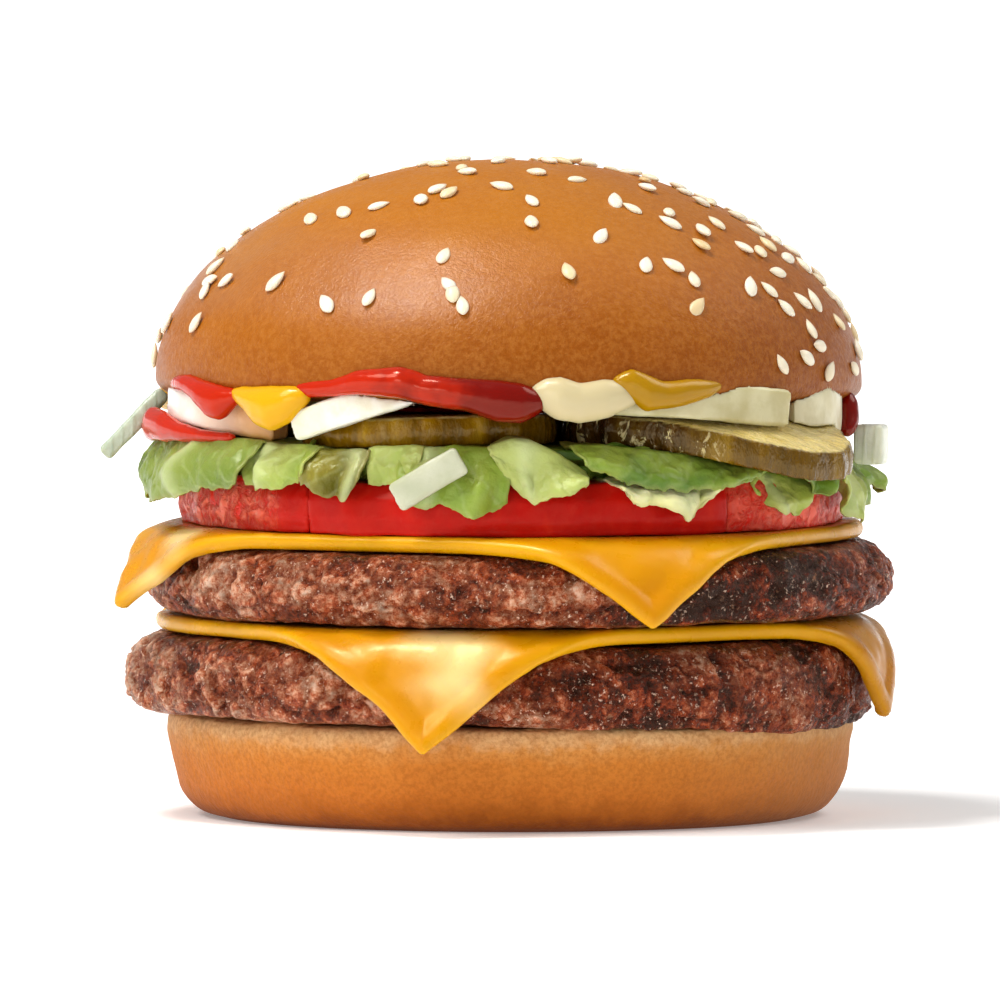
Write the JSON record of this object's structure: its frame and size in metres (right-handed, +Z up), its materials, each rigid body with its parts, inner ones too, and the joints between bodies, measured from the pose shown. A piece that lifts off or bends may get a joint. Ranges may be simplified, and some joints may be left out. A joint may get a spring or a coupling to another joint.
{
  "type": "double cheeseburger",
  "caption": "Stacked burger in a seeded bun: beef patties, draped cheese slices, tomato, torn lettuce, pickle, onion and squeezed-out sauces.",
  "frame": {"origin": "on the resting plane, under the middle of the whole object's box", "axes": "+Z up through the layers, -Y towards the front where the cheese corners and toppings show, +X to the right"},
  "size_m": [0.115, 0.114, 0.0945],
  "materials": {
    "crust": "satin baked crust",
    "heel_crust": "matt, finely grained bread crust",
    "beef": "coarse seared mince, greasy",
    "cheese": "smooth, soft shine",
    "tomato": "wet",
    "lettuce": "waxy, slightly see-through",
    "pickle": "wet, slightly see-through",
    "onion": "wet, slightly see-through",
    "ketchup": "glossy sauce",
    "mustard": "glossy sauce",
    "mayonnaise": "glossy sauce",
    "sesame": "satin seeds"
  },
  "bodies": {
    "root": {"bun_crown": "crust", "bun_heel": "heel_crust", "cheese_lower": "cheese", "cheese_upper": "cheese", "ketchup_back": "ketchup", "ketchup_left": "ketchup", "ketchup_middle": "ketchup", "ketchup_right": "ketchup", "ketchup_smear": "ketchup", "ketchup_spread": "ketchup", "lettuce_bed": "lettuce", "lettuce_leaf_01": "lettuce", "lettuce_leaf_02": "lettuce", "lettuce_leaf_03": "lettuce", "lettuce_leaf_04": "lettuce", "lettuce_leaf_05": "lettuce", "lettuce_leaf_06": "lettuce", "lettuce_leaf_07": "lettuce", "lettuce_leaf_08": "lettuce", "lettuce_leaf_09": "lettuce", "lettuce_leaf_10": "lettuce", "lettuce_leaf_11": "lettuce", "lettuce_leaf_12": "lettuce", "lettuce_leaf_13": "lettuce", "lettuce_leaf_14": "lettuce", "lettuce_leaf_15": "lettuce", "lettuce_leaf_16": "lettuce", "mayonnaise_middle": "mayonnaise", "mayonnaise_side": "mayonnaise", "mustard_back": "mustard", "mustard_left": "mustard", "mustard_middle": "mustard", "onion_back_left": "onion", "onion_back_right": "onion", "onion_far_left": "onion", "onion_far_right": "onion", "onion_flake": "onion", "onion_left": "onion", "onion_middle": "onion", "onion_right": "onion", "onion_right_end": "onion", "patty_lower": "beef", "patty_upper": "beef", "pickle_back_left": "pickle", "pickle_back_right": "pickle", "pickle_left": "pickle", "pickle_middle": "pickle", "pickle_right": "pickle", "tomato_left": "tomato", "tomato_middle": "tomato", "tomato_right": "tomato"}
  },
  "joints": []
}
